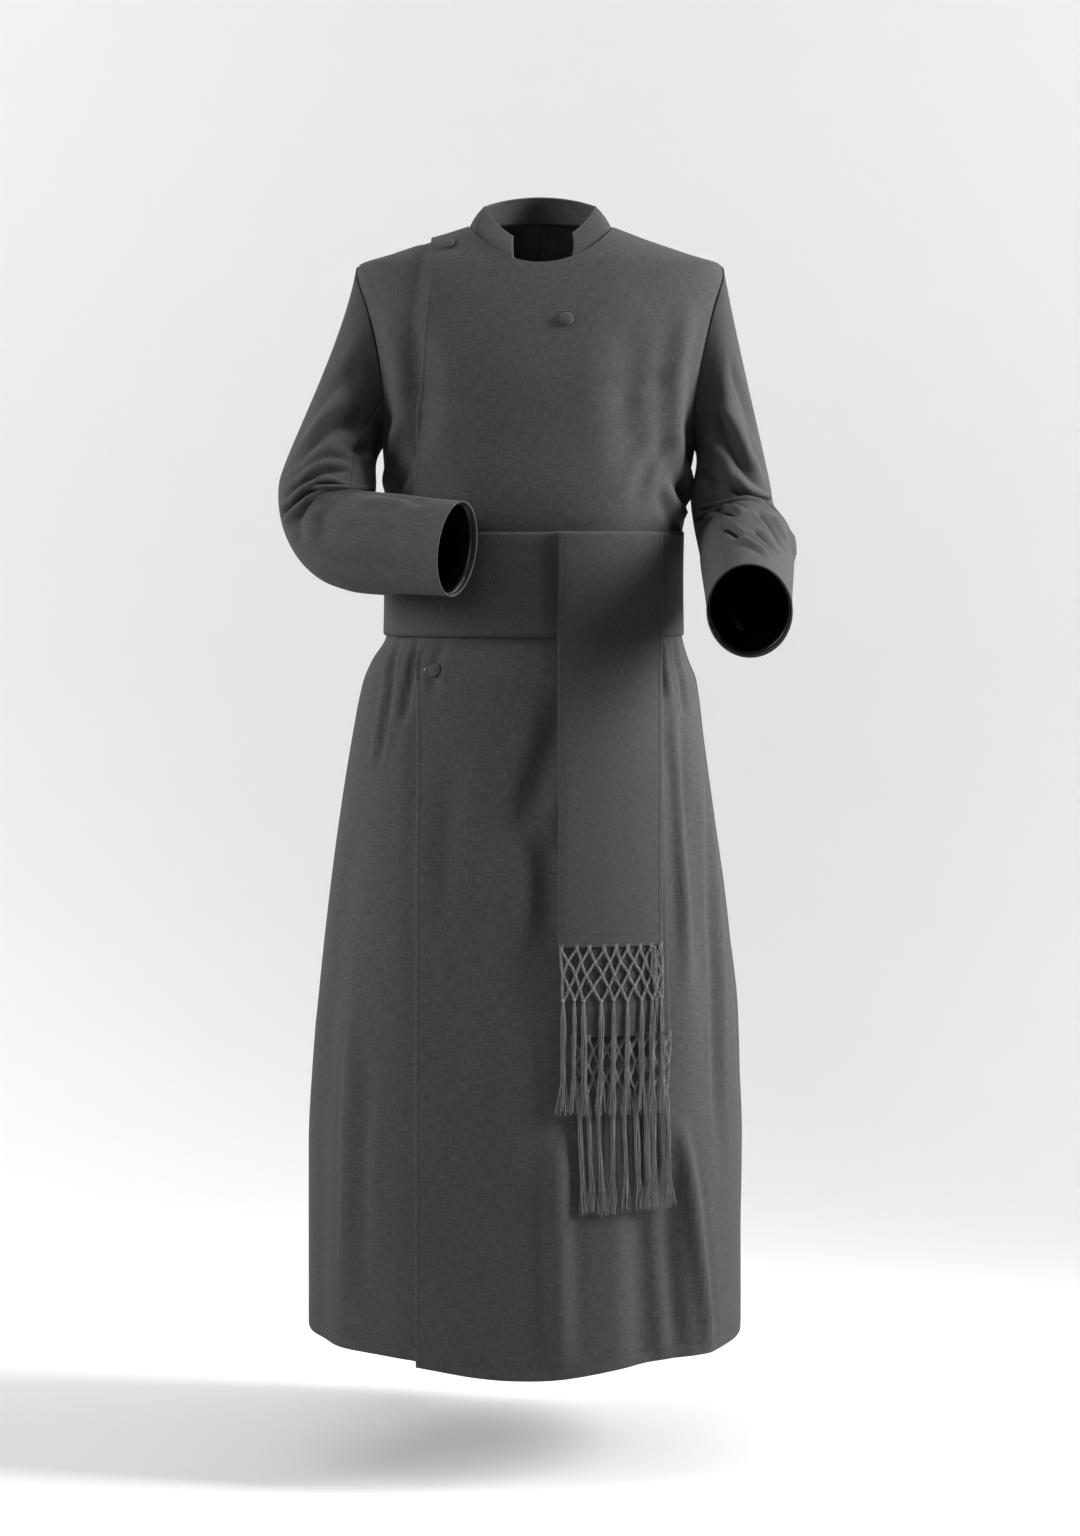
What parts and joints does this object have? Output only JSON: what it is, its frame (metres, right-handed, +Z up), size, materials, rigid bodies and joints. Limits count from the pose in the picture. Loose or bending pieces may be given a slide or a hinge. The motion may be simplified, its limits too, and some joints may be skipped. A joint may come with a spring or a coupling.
{
  "type": "cassock",
  "caption": "Full-length double-breasted cassock with a standing collar, long sleeves, covered buttons and a wide cincture with knotted fringed tails.",
  "frame": {"origin": "centre of the neck base, level with the two points where the shoulder seams meet the collar", "axes": "+Z up, the front faces -Y, the wearer's left arm is towards +X"},
  "size_m": [0.6409, 0.5033, 1.4519],
  "materials": {
    "cloth": "matt charcoal wool blend with a fine slub",
    "satin": "glossy black lining satin",
    "cincture": "matt charcoal cloth",
    "fringe": "charcoal cord with a low sheen"
  },
  "bodies": {
    "root": {"front_left": "cloth", "front_right": "cloth", "back_left": "cloth", "back_right": "cloth", "sleeve_right_top": "cloth", "sleeve_right_under": "cloth", "sleeve_left_top": "cloth", "sleeve_left_under": "cloth", "collar": "cloth", "sleeve_lining_right": "satin", "sleeve_lining_left": "satin", "button_shoulder": "cloth", "button_chest": "cloth", "button_hip": "cloth", "cincture_band": "cincture", "cincture_tail_front": "cincture", "cincture_tail_rear": "cincture", "fringe_front": "fringe", "fringe_rear": "fringe"}
  },
  "joints": []
}
